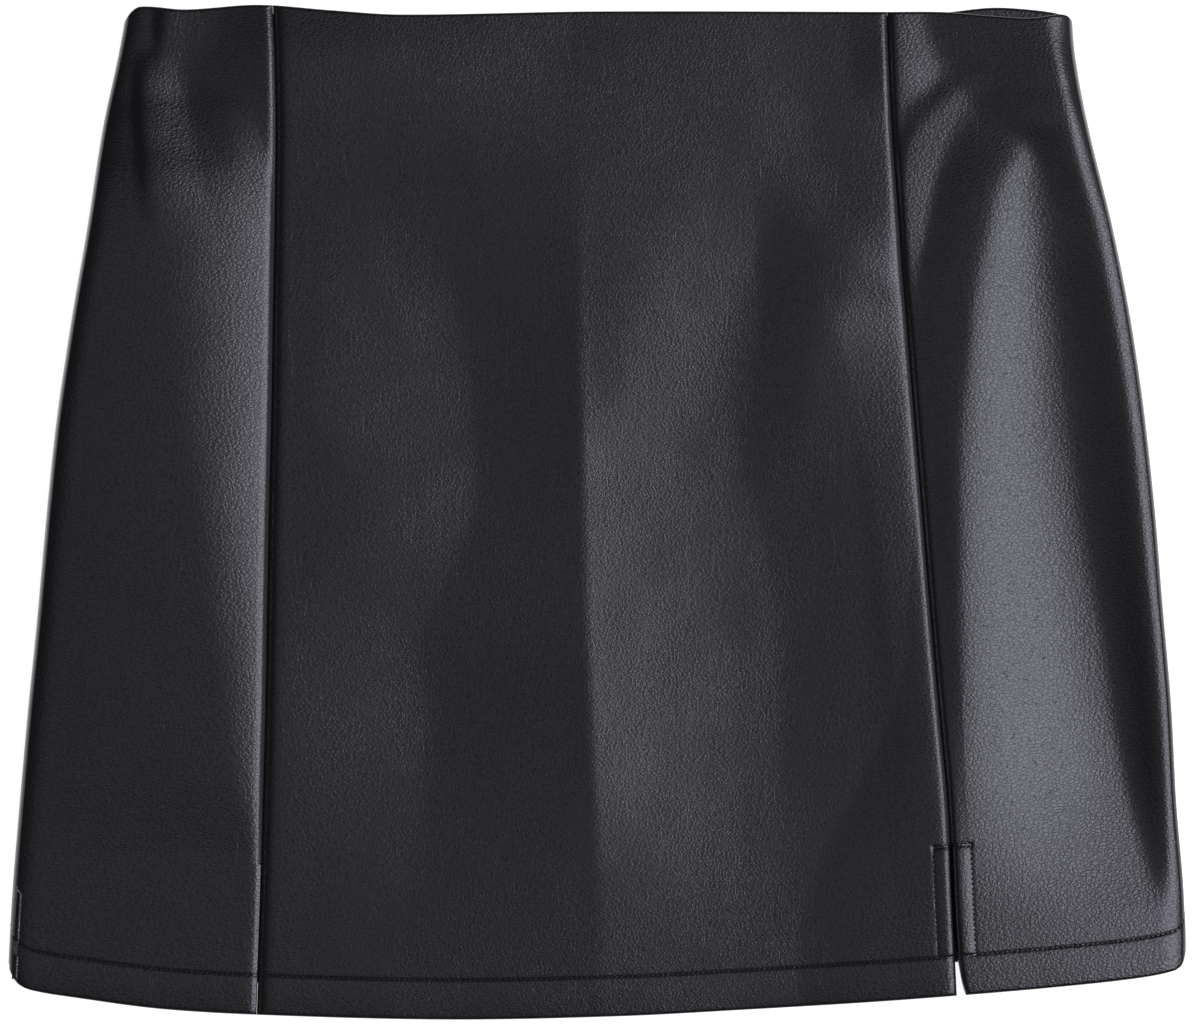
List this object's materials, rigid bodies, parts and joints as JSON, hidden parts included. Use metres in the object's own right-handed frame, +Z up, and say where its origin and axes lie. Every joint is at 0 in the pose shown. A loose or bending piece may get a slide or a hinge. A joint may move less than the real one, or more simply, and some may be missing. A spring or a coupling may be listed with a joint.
{
  "type": "leather mini skirt",
  "caption": "A-line mini skirt in black coated leather cloth, lying flat, with long front seams, a stitched hem and a short slit at the foot of one seam",
  "frame": {"origin": "centre of the footprint on the surface that the skirt lies on", "axes": "+X is the wearer's left and runs along the hem, +Y points to the waist, +Z is up, out of the skirt's front"},
  "size_m": [0.4881, 0.4202, 0.0127],
  "materials": {
    "leather": "black polyurethane-coated cloth with a fine pebble grain and a soft satin sheen"
  },
  "bodies": {
    "root": {"front_centre_panel": "leather", "front_side_right_panel": "leather", "front_side_left_panel": "leather", "back_right_panel": "leather", "back_left_panel": "leather"}
  },
  "joints": []
}
